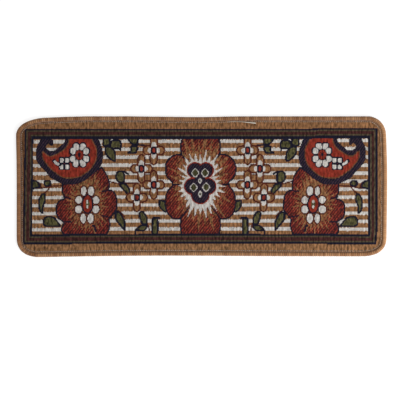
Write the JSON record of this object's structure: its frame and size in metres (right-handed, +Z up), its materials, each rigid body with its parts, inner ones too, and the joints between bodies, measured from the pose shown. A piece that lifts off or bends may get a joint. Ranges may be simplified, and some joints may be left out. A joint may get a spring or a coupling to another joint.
{
  "type": "anti slip stair tread mat",
  "caption": "Rectangular woven tread mat with rounded corners, an overlocked edge, a stitched hem line and a flat grippy backing.",
  "frame": {"origin": "middle of the underside, where the mat lies on the tread", "axes": "+X along the mat's length, to the right in the picture; +Y across it, up in the picture; +Z up, out of the woven face"},
  "size_m": [0.65, 0.247, 0.0067],
  "materials": {
    "woven_yarn": "jacquard weave of tan, cream, navy, maroon, olive and red yarns",
    "binding_yarn": "tan overlock yarn, ribbed across the edge",
    "seam_yarn": "pale grey brown sewing thread",
    "backing_rubber": "matt dark latex sheet"
  },
  "bodies": {
    "root": {"woven_face": "woven_yarn", "edge_binding": "binding_yarn", "seam_thread": "seam_yarn", "anti_slip_backing": "backing_rubber"}
  },
  "joints": []
}
